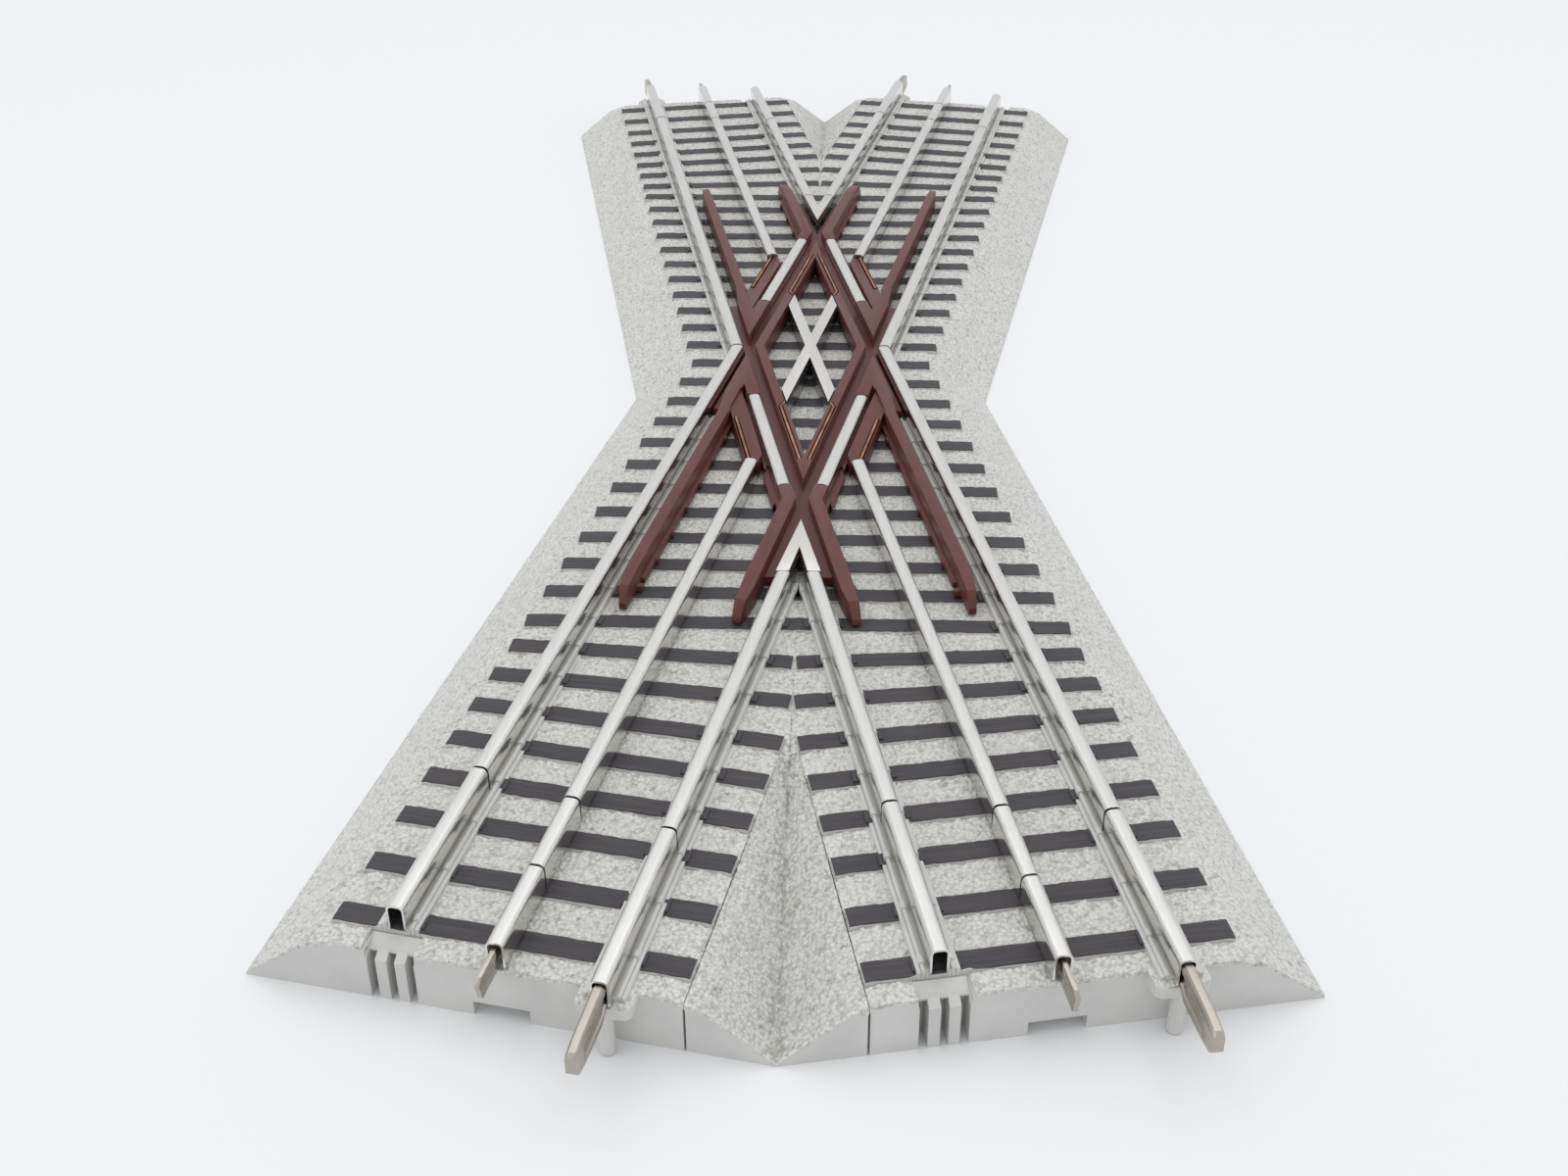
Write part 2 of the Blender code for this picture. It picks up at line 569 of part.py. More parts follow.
def insert_parts():
    """The near left quarter of the crossing insert, as (outline, top). Later parts replace earlier ones."""
    face = RAIL_OFFSET - RAIL_WIDTH / 2
    back = RAIL_OFFSET + RAIL_WIDTH / 2
    clear = face - 0.35

    def off_b(p):
        return offset("B", p)

    def down_b(p):
        return along("B", p)

    def flare(p):
        beyond = max(0.0, -along("A", p) - GUARD_STRAIGHT) / (GUARD_TIP - GUARD_STRAIGHT)
        return RAIL_TOP - 0.7 * beyond - 2.6 * max(0.0, beyond - 0.75) / 0.25
    parts = []
    parts.append((clip(crossed(-clear, clear, -back - 0.9, -INNER_GUARD[0]), lambda p: p[0], high=0.0),
                  FLANGEWAY_FLOOR))
    vertex = clip(band("A", WING[0], clear), lambda p: p[1], -FROG_JOINT + 2.0, -60.0)
    parts.append((clip(vertex, lambda p: p[0], high=0.0), FLANGEWAY_FLOOR))
    entry = [across("A", n, t) for n, t in rectangle(-clear, -LONG_GUARD[0], -32.5, 0.0)]
    parts.append((clip(entry, off_b, high=-INNER_GUARD[1] + 1.0), FLANGEWAY_FLOOR))
    for low_n, high_n in ((-LONG_GUARD[0] - 0.2, -LONG_GUARD[0] + 0.75), (WING[0] - 0.75, WING[0] + 0.2)):
        foot = [across("A", n, t) for n, t in rectangle(low_n, high_n, -GUARD_STRAIGHT, -26.0)]
        foot = clip(foot, off_b, high=-back - 4.6 if low_n < 0 else -back - 1.5)
        parts.append((foot, GUARD_FOOT_TOP))
    for edge, ties in ((-LONG_GUARD[0], GUARD_LUG_TIES), (WING[0], WING_LUG_TIES)):
        reach = (edge - 0.3, edge + 1.2) if edge < 0 else (edge - 1.2, edge + 0.3)
        for k in ties:
            distance = (k * MIDDLE_TIE_PITCH - edge * math.sin(HALF_ANGLE)) / math.cos(HALF_ANGLE)
            lug = [across("A", n, t) for n, t in rectangle(*reach, -distance - 0.6, -distance + 0.6)]
            parts.append((lug, GUARD_FOOT_TOP))
    heel_lug = crossed(3.0, 8.2, -back - 1.5, -back + 0.4)
    parts.append((heel_lug, GUARD_FOOT_TOP))
    runway = clip(crossed(-GUARD_NEAR_KNEE, 40.0, -back, -face), down_b, low=-SEGMENT_ENDS[0] + 0.3)
    parts.append((runway, RAIL_TOP))
    parts.append((crossed(-INNER_GUARD[1], INNER_GUARD[1], -INNER_GUARD[1], -INNER_GUARD[0]), RAIL_TOP))
    guard = [(-GUARD_NEAR_KNEE, -2.0), (-GUARD_NEAR_KNEE, -28.0), (-LONG_GUARD[1], -38.5),
             (-LONG_GUARD[1], -GUARD_STRAIGHT), (-LONG_GUARD[0], -GUARD_STRAIGHT), (-LONG_GUARD[0], -2.0)]
    parts.append((clip([across("A", n, t) for n, t in guard], off_b, high=-face), RAIL_TOP))
    wing = rectangle(WING[0], WING[1], -GUARD_STRAIGHT, -60.0)
    wing = clip([across("A", n, t) for n, t in wing], off_b, high=-face)
    parts.append((clip(wing, down_b, high=-SEGMENT_ENDS[1] - 0.3), RAIL_TOP))
    heel = clip(crossed(-10.0, WING[1], -back, -face), down_b, high=-SEGMENT_ENDS[1] - 0.3)
    parts.append((heel, RAIL_TOP))
    steps = [k / FLARE_STEPS for k in range(FLARE_STEPS + 1)]
    for inner, outer in ((-LONG_GUARD[0], -LONG_GUARD[1]), (WING[0], WING[1])):
        for k0, k1 in zip(steps, steps[1:]):
            ring = []
            for k in (k0, k1):
                t = -GUARD_STRAIGHT - k * (GUARD_TIP - GUARD_STRAIGHT)
                ring.append((across("A", inner, t), across("A", outer + (inner - outer) * FLARE_TUCK * k * k, t)))
            parts.append(([ring[0][0], ring[0][1], ring[1][1], ring[1][0]], flare))
    ramp = clip(crossed(-LONG_GUARD[0] - 0.25, 1.5, -23.55, -19.6), lambda p: along("A", p),
                low=-CENTRE_INNER_END + 0.4)
    parts.append((ramp, RAMP_TOP))
    groove = [across("B", n, t) for n, t in rectangle(-23.35, -22.25, -54.6, -33.0)]
    parts.append((groove, GROOVE_FLOOR))
    slit = strip_outline([across("B", n, t) for n, t in contact_path()], 1.1)
    parts.append((clip(slit, off_b, high=-INNER_GUARD[0]), GROOVE_FLOOR))
    return parts


def contact_path():
    """The centre line of a contact strip in the near left inner guard, as track B (n, t) points."""
    groove = -0.5 * (INNER_GUARD[0] + INNER_GUARD[1]) - 0.3
    return [(groove, -56.6), (groove, -31.0), (-INNER_GUARD[0] + 0.1, -28.6)]


def strip_outline(path, width):
    """The outline of a thin strip of a given width that follows a path of (x, y) points."""
    left, right = [], []
    for i, point in enumerate(path):
        before = path[max(i - 1, 0)]
        after = path[min(i + 1, len(path) - 1)]
        dx, dy = after[0] - before[0], after[1] - before[1]
        length = math.hypot(dx, dy)
        nx, ny = -dy / length * width / 2, dx / length * width / 2
        left.append((point[0] + nx, point[1] + ny))
        right.append((point[0] - nx, point[1] - ny))
    return left + right[::-1]


def terraces(name, shapes, foot, surface):
    """A solid with upright walls, stepped between the tops of its shapes. Later shapes replace earlier ones."""
    corners, loops = [], []
    for outline, top in shapes:
        start = len(corners)
        corners += [Vector(p) for p in counterclockwise(outline)]
        loops.append(list(range(start, len(corners))))
    places, _, found, _, _, _ = delaunay_2d_cdt(corners, [], loops, 0, 0.002)
    triangles, tops, levels, edges = [], [], {}, {}
    for triangle in found:
        middle = [sum(places[i][k] for i in triangle) / 3 for k in range(2)]
        cover = [top for outline, top in shapes if inside(middle, outline)]
        if not cover:
            continue
        top = cover[-1]
        heights = {i: round(top(places[i]), 4) if callable(top) else top for i in triangle}
        for i, j in zip(triangle, triangle[1:] + triangle[:1]):
            levels.setdefault(i, {foot}).add(heights[i])
            edges.setdefault((min(i, j), max(i, j)), []).append(len(tops))
        triangles.append(triangle)
        tops.append(heights)
    builder = bmesh.new()
    made = {}

    def corner(i, z):
        if (i, z) not in made:
            made[(i, z)] = builder.verts.new((places[i][0], places[i][1], z))
        return made[(i, z)]
    for triangle, heights in zip(triangles, tops):
        builder.faces.new([corner(i, heights[i]) for i in triangle])
        builder.faces.new([corner(i, foot) for i in reversed(triangle)])
    for (i, j), owners in edges.items():
        one = tops[owners[0]]
        other = tops[owners[1]] if len(owners) > 1 else {i: foot, j: foot}
        wall = []
        for place, order in ((i, 1), (j, -1)):
            low, high = sorted((one[place], other[place]))
            wall += [corner(place, z) for z in sorted(levels[place])[::order] if low <= z <= high]
        if len(wall) > 2:
            builder.faces.new(wall)
    return finish(name, builder, surface)


def build_insert():
    """The brown moulding of guard rails, flangeways, wings and pick-up ramps."""
    shapes = []
    for outline, top in insert_parts():
        for fx in (1, -1):
            for fy in (1, -1):
                if callable(top):
                    def placed(p, fx=fx, fy=fy, top=top):
                        return top((p[0] * fx, p[1] * fy))
                else:
                    placed = top
                shapes.append((mirrored(outline, fx, fy), placed))
    terraces("crossing_insert", shapes, INSERT_FOOT, insert_material())


def build_contacts():
    """The copper strips that carry the centre-rail feed through the insert."""
    guard_strip = strip_outline([across("B", n, t) for n, t in contact_path()], 0.5)
    guard_strip = clip(guard_strip, lambda p: offset("B", p), high=-INNER_GUARD[0] - 0.1)
    ramp_strip = [across("B", n, t) for n, t in rectangle(-23.05, -22.55, -54.3, -33.3)]
    for arm, (fx, fy) in (("near_left", (1, 1)), ("near_right", (-1, 1)), ("far_right", (-1, -1)),
                          ("far_left", (1, -1))):
        prisms(f"{arm}_guard_contact", [(mirrored(guard_strip, fx, fy), 13.5, RAIL_TOP)], False,
               copper_material())
        prisms(f"{arm}_ramp_contact", [(mirrored(ramp_strip, fx, fy), 13.5, RAMP_TOP + 0.2)], False,
               copper_material())


def main():
    for item in list(bpy.data.objects):
        bpy.data.objects.remove(item, do_unlink=True)
    build_roadbed()
    build_filler("near_ballast_filler", -1)
    build_filler("far_ballast_filler", 1)
    for arm, (track, turn) in ARMS.items():
        build_arm_rails(arm, track, turn)
        build_pin(arm, track, turn)
        build_blade(arm, track, turn)
    build_segments()
    build_frog_point("near_frog_point", -1)
    build_frog_point("far_frog_point", 1)
    build_centre_casting()
    build_insert()
    build_contacts()
    build_straps()


main()
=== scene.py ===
"""The looks of a three-rail model railway diamond crossing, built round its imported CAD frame.

Track A runs from the near left end to the far right end and track B from the near right end to the
far left. Along a track, n is the distance to the right of its centre line and t the distance along
it, negative at the near end. Lengths are in millimetres until a mesh is made.
"""

import json
import math

import bmesh
import bpy
import numpy as np
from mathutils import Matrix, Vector

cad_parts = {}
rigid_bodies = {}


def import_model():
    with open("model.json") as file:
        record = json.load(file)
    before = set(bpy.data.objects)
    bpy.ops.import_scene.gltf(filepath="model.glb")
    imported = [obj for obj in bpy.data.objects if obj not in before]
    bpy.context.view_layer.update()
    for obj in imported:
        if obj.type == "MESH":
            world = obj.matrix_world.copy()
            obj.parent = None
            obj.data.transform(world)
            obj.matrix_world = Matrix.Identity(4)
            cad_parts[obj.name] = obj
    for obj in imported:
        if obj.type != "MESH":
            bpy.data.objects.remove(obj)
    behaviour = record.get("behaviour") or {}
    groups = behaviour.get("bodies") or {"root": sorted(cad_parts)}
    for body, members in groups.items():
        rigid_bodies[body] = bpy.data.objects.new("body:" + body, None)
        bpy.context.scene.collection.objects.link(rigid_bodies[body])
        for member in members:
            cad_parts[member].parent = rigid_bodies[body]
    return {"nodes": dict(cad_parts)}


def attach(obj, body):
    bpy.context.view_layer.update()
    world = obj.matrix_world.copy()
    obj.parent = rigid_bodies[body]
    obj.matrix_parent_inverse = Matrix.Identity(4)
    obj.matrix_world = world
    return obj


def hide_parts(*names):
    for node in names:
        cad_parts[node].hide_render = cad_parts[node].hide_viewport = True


MM = 0.001
HALF_ANGLE = math.radians(11.25)
COS, SIN, TAN = math.cos(HALF_ANGLE), math.sin(HALF_ANGLE), math.tan(HALF_ANGLE)
TRACKS = {"A": 1, "B": -1}
ARMS = {
    "near_left": ("A", 1),
    "near_right": ("B", 1),
    "far_right": ("A", -1),
    "far_left": ("B", -1),
}

# The roadbed, as in the CAD model. SHOULDER is its height at each distance from a track's centre line.
HALF_LENGTH = 211.4
HALF_WIDTH = 41.9
SHOULDER = ((0.0, 10.0), (26.0, 10.0), (31.4, 8.6), (41.9, 0.5))
DECK_TOP = 10.0
SEAM = 28.4
SEAM_GAP = 0.35
FILLER_TIP = 153.5
TIE_HALF_LENGTH = 28.2
TIE_WIDTH = 4.2
TIE_TOP = 10.4
TIE_MITRE = 0.4
MIDDLE_TIE_PITCH = 10.4
MIDDLE_TIES = 11
# The distance along the track and the turn, in degrees, of each tie in an arm.
ARM_TIES = ((127.6, 4.6), (138.5, 7.6), (149.4, 10.3), (159.9, 11.25), (170.6, 11.25), (181.2, 11.25),
            (193.0, 11.25), (204.9, 11.25))

# The cut over the fins at a socket rail's end, and the saddle behind them, as n from and to.
RECESS = (-21.2, -13.2)
SADDLE = (-21.4, -13.0)
SADDLE_BACK = -207.0
SADDLE_EDGE = -HALF_LENGTH + 1.6
SADDLE_FRONT = 8.4
# The rounded tongue of ballast under a pin rail's end.
TONGUE_HALF_WIDTH = 4.4
TONGUE_CORNER = 1.6

# Ballast: the size of a grain, how far it stands up, and the step of the grids that draw it.
GRAIN = 0.85
GRAIN_HEIGHT = 0.62
GRAIN_STEP = 0.42
# The skin of grains overlies a body let down by SKIN_DROP, and its edges reach down by SKIN_ROOT.
SKIN_DROP = 0.7
SKIN_ROOT = 1.1
SKIN_CLEARANCE = 0.03
# A filler's seam is open outside the first t and closed inside the second.
SEAM_OPEN = (-185.0, -172.0)
SEAM_NARROWING = 0.11

# Rails, as in the CAD model. A joint is the distance from the middle to the gap between two lengths.
RAIL_OFFSET = 17.3
RAIL_WIDTH = 2.9
RAIL_TOP = 15.3
RAIL_FOOT = 10.7
RAIL_WALL = 0.35
RAIL_CORNER = 1.0
CORNER_STEPS = 7
RAIL_GAP = 0.5
STAGGER = 4.0
SOCKET_JOINT = 172.9
PIN_JOINT = 180.7
CENTRE_JOINTS = (193.8, 176.9)
CENTRE_INNER_END = 59.0
FROG_JOINT = 103.3
SEGMENT_ENDS = (24.1, 66.8)
FLANGEWAY_FLOOR = 12.5

# The smooth channel that a running rail stands in: its ridges, as distances from the rail's centre line,
# the spike heads on them, and the dark plates on the ties beside them.
RIDGE = (1.9, 2.55)
RIDGE_ROOT = 9.0
RIDGE_TOP = 11.35
CHANNEL_FLOOR = TIE_TOP + 0.35
SPIKE_ROOT = 9.5
SPIKE_TOP = RIDGE_TOP + 0.3
SPIKE_HALF = (0.5, 0.7)
PLATE_ROOT = 9.6
PLATE_TOP = TIE_TOP + 0.28
PLATE_OFFSET = 0.95
PLATE_HALF_WIDTH = 0.55
PLATE_REACH = (-1.4, 1.2)
# The distance from the middle at which a ridge ends: outside its rail, and inside it.
KNEE_RIDGE_ENDS = (1.0, 34.0)
FROG_RIDGE_ENDS = (FROG_JOINT - 6.6, FROG_JOINT + 3.4)

# How far the sharp edges of the insert and the metal parts are rounded off.
CASTING_EDGE = 0.16
PIN_EDGE = 0.1
BLADE_EDGE = 0.08

# The studio. The camera's focal length is given in widths of the picture, and a lamp by its place, size,
# power and colour.
CAMERA_PLACE = (0.0086, -0.4004, 0.1991)
CAMERA_TURN = (57.71, 0.27, 2.02)
SENSOR = 36.0
FOCAL_LENGTH = 1849.0 / 1600.0
FLOOR_HALF = 3000
SKY = (0.955, 0.975, 1.0, 1.0)
SKY_STRENGTH = 0.77
LAMPS = (
    ("overhead", (0.0, 0.25, 1.5), 1.9, 8.2, (1.0, 0.995, 0.98)),
    ("left", (-1.1, -0.5, 0.9), 0.9, 1.4, (1.0, 1.0, 1.0)),
    ("right", (1.2, 0.2, 0.8), 0.8, 0.95, (0.97, 0.98, 1.0)),
)


def across(track, n, t):
    """The (x, y) of a place n to the right of a track's centre line and t along it."""
    lean = TRACKS[track]
    return n * COS + lean * t * SIN, -lean * n * SIN + t * COS


def offset(track, x, y):
    """n at a place: how far it lies to the right of a track's centre line."""
    return x * COS - TRACKS[track] * y * SIN


def along(track, x, y):
    """t at a place: how far it lies along a track."""
    return TRACKS[track] * x * SIN + y * COS


# ---------------------------------------------------------------- materials


class Nodes:
    """Short calls for building a material's node tree."""

    def __init__(self, name):
        self.material = bpy.data.materials.new(name)
        self.material.use_nodes = True
        self.tree = self.material.node_tree
        self.tree.nodes.clear()
        self.output = self.tree.nodes.new("ShaderNodeOutputMaterial")
        self.shader = self.tree.nodes.new("ShaderNodeBsdfPrincipled")
        self.link(self.shader.outputs[0], self.output.inputs[0])
        self.place = self.tree.nodes.new("ShaderNodeTexCoord").outputs["Object"]

    def link(self, start, end):
        self.tree.links.new(start, end)

    def put(self, value, socket):
        """Links a socket to another or sets its value, and gives a colour its fourth number."""
        if isinstance(value, bpy.types.NodeSocket):
            self.link(value, socket)
        elif isinstance(value, (tuple, list)) and len(value) == 3 and len(socket.default_value) == 4:
            socket.default_value = (*value, 1.0)
        else:
            socket.default_value = value

    def set(self, **values):
        """Sets the shader's inputs, with _ for each space in a name."""
        for name, value in values.items():
            self.put(value, self.shader.inputs[name.replace("_", " ")])

    def scaled(self, vector, scale, rotation=0.0):
        """The vector turned about z and stretched, so that a texture runs in streaks."""
        node = self.tree.nodes.new("ShaderNodeMapping")
        self.put(vector, node.inputs["Vector"])
        node.inputs["Scale"].default_value = scale
        node.inputs["Rotation"].default_value = (0.0, 0.0, rotation)
        return node.outputs[0]

    def noise(self, vector, scale, detail=3.0, roughness=0.55):
        node = self.tree.nodes.new("ShaderNodeTexNoise")
        self.put(vector, node.inputs["Vector"])
        node.inputs["Scale"].default_value = scale
        node.inputs["Detail"].default_value = detail
        node.inputs["Roughness"].default_value = roughness
        return node.outputs["Fac"]

    def voronoi(self, vector, scale, output="Distance"):
        node = self.tree.nodes.new("ShaderNodeTexVoronoi")
        self.put(vector, node.inputs["Vector"])
        node.inputs["Scale"].default_value = scale
        return node.outputs[output]

    def ramp(self, value, *stops):
        """A colour for each value, from stops of (value, colour or grey)."""
        node = self.tree.nodes.new("ShaderNodeValToRGB")
        self.put(value, node.inputs["Fac"])
        elements = node.color_ramp.elements
        while len(elements) < len(stops):
            elements.new(0.5)
        for element, (place, colour) in zip(elements, stops):
            element.position = place
            if not isinstance(colour, tuple):
                colour = (colour, colour, colour)
            element.color = (*colour, 1.0)
        return node.outputs["Color"]

    def span(self, value, from_low, from_high, to_low, to_high):
        """The value, carried from one range to another."""
        node = self.tree.nodes.new("ShaderNodeMapRange")
        for socket, number in zip(node.inputs, (value, from_low, from_high, to_low, to_high)):
            self.put(number, socket)
        return node.outputs[0]

    def math(self, operation, a, b):
        node = self.tree.nodes.new("ShaderNodeMath")
        node.operation = operation
        self.put(a, node.inputs[0])
        self.put(b, node.inputs[1])
        return node.outputs[0]

    def mix(self, factor, a, b, blend="MIX"):
        node = self.tree.nodes.new("ShaderNodeMix")
        node.data_type = "RGBA"
        node.blend_type = blend
        self.put(factor, node.inputs["Factor"])
        self.put(a, node.inputs[6])
        self.put(b, node.inputs[7])
        return node.outputs[2]

    def facing(self):
        """The upward part of the surface's direction."""
        split = self.tree.nodes.new("ShaderNodeSeparateXYZ")
        geometry = self.tree.nodes.new("ShaderNodeNewGeometry")
        self.link(geometry.outputs["True Normal"], split.inputs[0])
        return split.outputs["Z"]

    def attribute(self, name):
        node = self.tree.nodes.new("ShaderNodeAttribute")
        node.attribute_name = name
        return node

    def bump(self, height, distance, strength):
        node = self.tree.nodes.new("ShaderNodeBump")
        node.inputs["Strength"].default_value = strength
        node.inputs["Distance"].default_value = distance
        self.put(height, node.inputs["Height"])
        return node.outputs[0]


def ballast_material():
    """Grey moulded grains, with painted shade darkening each grain's edges and the pits between them."""
    m = Nodes("ballast_grains")
    pit = m.attribute("pit").outputs["Fac"]
    scale = 1500.0
    grain = m.voronoi(m.place, scale)
    tone = m.voronoi(m.place, scale, output="Color")
    fine = m.noise(m.place, 4200.0, 2.0)
    patches = m.noise(m.place, 55.0, 3.0)
    colour = m.ramp(tone, (0.0, (0.36, 0.35, 0.315)), (0.12, (0.60, 0.59, 0.55)),
                    (0.3, (0.755, 0.75, 0.71)), (1.0, (0.825, 0.82, 0.785)))
    # Painted shade: each grain darkens towards its edges, where it meets the next.
    colour = m.mix(0.85, colour, m.ramp(grain, (0.35, 1.0), (0.85, 0.66)), "MULTIPLY")
    # Painted shade: the low places between grains, and the filler's valley, darken through the pit
    # attribute.
    painted_pit_shade = m.ramp(pit, (0.0, (0.46, 0.455, 0.435)), (0.18, 0.84), (0.42, 1.0))
    colour = m.mix(0.9, colour, painted_pit_shade, "MULTIPLY")
    colour = m.mix(m.span(patches, 0.42, 0.66, 0.0, 0.16), colour, (0.60, 0.60, 0.575))
    height = m.math("ADD", m.math("MULTIPLY", grain, -0.8), m.math("MULTIPLY", fine, 0.3))
    m.set(Base_Color=colour, Roughness=0.6, Specular_IOR_Level=0.4, Normal=m.bump(height, 0.00045, 0.9))
    return m.material


def moulding_material(name, base, roughness, mottle, specular=0.5):
    """Moulded plastic with a faint mottle and mould texture."""
    m = Nodes(name)
    cloud = m.noise(m.place, 120.0, 4.0)
    fine = m.noise(m.place, 1800.0, 2.0)
    dark = tuple(c * (1.0 - 2.2 * mottle) for c in base)
    light = tuple(min(1.0, c * (1.0 + 2.2 * mottle)) for c in base)
    m.set(Base_Color=m.ramp(cloud, (0.3, dark), (0.7, light)), Specular_IOR_Level=specular,
          Roughness=m.span(cloud, 0.3, 0.7, roughness - 0.05, roughness + 0.07),
          Normal=m.bump(fine, 0.00006, 0.6))
    return m.material


def tie_material():
    """Dark moulded wood, with its grain along each tie."""
    m = Nodes("tie_wood_grain")
    local = m.attribute("grain").outputs["Vector"]
    streaks = m.noise(m.scaled(local, (60.0, 1500.0, 1.0)), 1.0, 5.0, 0.6)
    fine = m.noise(m.scaled(local, (260.0, 5200.0, 1.0)), 1.0, 3.0, 0.6)
    patches = m.noise(m.scaled(local, (45.0, 160.0, 1.0)), 1.0, 3.0)
    colour = m.ramp(streaks, (0.3, (0.034, 0.030, 0.036)), (0.55, (0.060, 0.053, 0.062)),
                    (0.75, (0.098, 0.088, 0.098)))
    colour = m.mix(m.span(patches, 0.45, 0.7, 0.0, 0.35), colour, (0.088, 0.074, 0.080))
    height = m.math("ADD", streaks, m.math("MULTIPLY", fine, 0.4))
    m.set(Base_Color=colour, Roughness=m.span(streaks, 0.3, 0.7, 0.5, 0.66),
          Normal=m.bump(height, 0.0004, 0.7))
    return m.material


def metal_material(name, base, roughness, side=(1.0, 0.0), smudge=0.06, metallic=1.0, turn=0.0):
    """Metal with faint lengthwise streaks, smudges and specks.

    side is how far upright faces are darkened as painted shade, and how much smoother they are than level
    ones, and turn is the streaks' direction from the y axis.
    """
    m = Nodes(name)
    streaks = m.noise(m.scaled(m.place, (2600.0, 30.0, 2600.0), turn), 1.0, 3.0)
    smudges = m.noise(m.place, 90.0, 4.0)
    specks = m.noise(m.place, 1400.0, 2.0)
    dark = tuple(c * (1.0 - smudge) for c in base)
    colour = m.ramp(smudges, (0.35, dark), (0.6, base))
    colour = m.mix(m.span(streaks, 0.35, 0.65, 0.10, 0.0), colour, tuple(c * 0.72 for c in base))
    colour = m.mix(m.span(specks, 0.66, 0.74, 0.0, 0.25), colour, tuple(c * 0.6 for c in base))
    # Painted shade: upright faces are darkened by the first number of side.
    up = m.span(m.math("ABSOLUTE", m.facing(), 0.0), 0.25, 0.85, 0.0, 1.0)
    painted_side_shade, polish = side
    colour = m.mix(up, m.mix(1.0, colour, (painted_side_shade, painted_side_shade, painted_side_shade), "MULTIPLY"), colour)
    rough = m.math("ADD", m.span(streaks, 0.3, 0.7, roughness - 0.05, roughness + 0.05),
                   m.span(smudges, 0.35, 0.7, 0.05, -0.02))
    m.set(Base_Color=colour, Roughness=m.math("SUBTRACT", rough, m.span(up, 0.0, 1.0, polish, 0.0)),
          Metallic=metallic, Normal=m.bump(streaks, 0.00003, 0.5))
    return m.material


def copper_material():
    """Copper strip, tarnished in patches."""
    m = Nodes("copper_strip")
    tarnish = m.noise(m.place, 240.0, 4.0)
    m.set(Base_Color=m.ramp(tarnish, (0.35, (0.26, 0.125, 0.075)), (0.65, (0.54, 0.30, 0.19))),
          Roughness=m.span(tarnish, 0.3, 0.7, 0.28, 0.42), Metallic=1.0)
    return m.material


def floor_material():
    m = Nodes("pale_floor")
    m.set(Base_Color=(0.865, 0.87, 0.88), Roughness=0.6)
    return m.material


# ---------------------------------------------------------------- meshes


def link_object(name, data):
    made = bpy.data.objects.new(name, data)
    bpy.context.scene.collection.objects.link(made)
    return made


def make_object(name, points, faces, material, sharp=None):
    """A mesh object from points in millimetres, smooth over edges under sharp degrees if that is given."""
    mesh = bpy.data.meshes.new(name)
    mesh.from_pydata([tuple(p) for p in np.asarray(points, float) * MM], [], [tuple(f) for f in faces])
    mesh.materials.append(material)
    made = link_object(name, mesh)
    if sharp is not None:
        mesh.shade_smooth()
        mesh.set_sharp_from_angle(angle=math.radians(sharp))
    return made


def face_outwards(obj):
    mesh = bmesh.new()
    mesh.from_mesh(obj.data)
    bmesh.ops.recalc_face_normals(mesh, faces=mesh.faces)
    mesh.to_mesh(obj.data)
    mesh.free()


def face_upwards(obj):
    mesh = obj.data
    total = sum(p.normal.z * p.area for p in mesh.polygons)
    if total < 0:
        mesh.flip_normals()


def piece(obj, body, slot, *nodes):
    """Puts a finished piece on a body and in place of any CAD nodes named; slot is not used."""
    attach(obj, body)
    if nodes:
        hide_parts(*nodes)
    return obj


def grid_faces(index):
    """The four-sided faces of a grid of vertex numbers."""
    return np.stack([index[:-1, :-1], index[:-1, 1:], index[1:, 1:], index[1:, :-1]], -1).reshape(-1, 4)


def hashed(ix, iy, salt):
    """A repeatable random number in 0 to 1 for each cell of a grid."""
    h = (ix.astype(np.int64) * 374761393 + iy.astype(np.int64) * 668265263 + salt * 2147483647) & 0xFFFFFFFF
    h = ((h ^ (h >> 13)) * 1274126177) & 0xFFFFFFFF
    h = (h ^ (h >> 16)) & 0xFFFFFF
    return h / float(0xFFFFFF)


def grains(x, y, size, salt=0):
    """The height, 0 to 1, of a bed of rounded grains."""
    best = np.full(x.shape, 9.0)
    second = np.full(x.shape, 9.0)
    top = np.zeros(x.shape)
    cell_x, cell_y = np.floor(x / size), np.floor(y / size)
    for dx in (-1, 0, 1):
        for dy in (-1, 0, 1):
            ix, iy = cell_x + dx, cell_y + dy
            px = (ix + 0.15 + 0.7 * hashed(ix, iy, salt + 1)) * size
            py = (iy + 0.15 + 0.7 * hashed(ix, iy, salt + 2)) * size
            d = np.hypot(x - px, y - py) / size
            closer = d < best
            second = np.where(closer, best, np.minimum(second, d))
            top = np.where(closer, hashed(ix, iy, salt + 3), top)
            best = np.where(closer, d, best)
    edge = np.clip((second - best) * 2.2, 0.0, 1.0)
    return np.sqrt(edge) * (0.45 + 0.55 * top)


def all_ties():
    """Each tie as (centre x, centre y, turn, half length, side): side limits it to x below or above zero."""
    found = []
    for k in range(-MIDDLE_TIES, MIDDLE_TIES + 1):
        y = k * MIDDLE_TIE_PITCH
        found.append((0.0, y, 0.0, (TIE_HALF_LENGTH + abs(y) * SIN) / COS, 0))
    for track, turn in ARMS.values():
        lean = TRACKS[track]
        for distance, tilt in ARM_TIES:
            x, y = across(track, 0.0, -turn * distance)
            found.append((x, y, -lean * math.radians(tilt), TIE_HALF_LENGTH, -turn * lean))
    return found


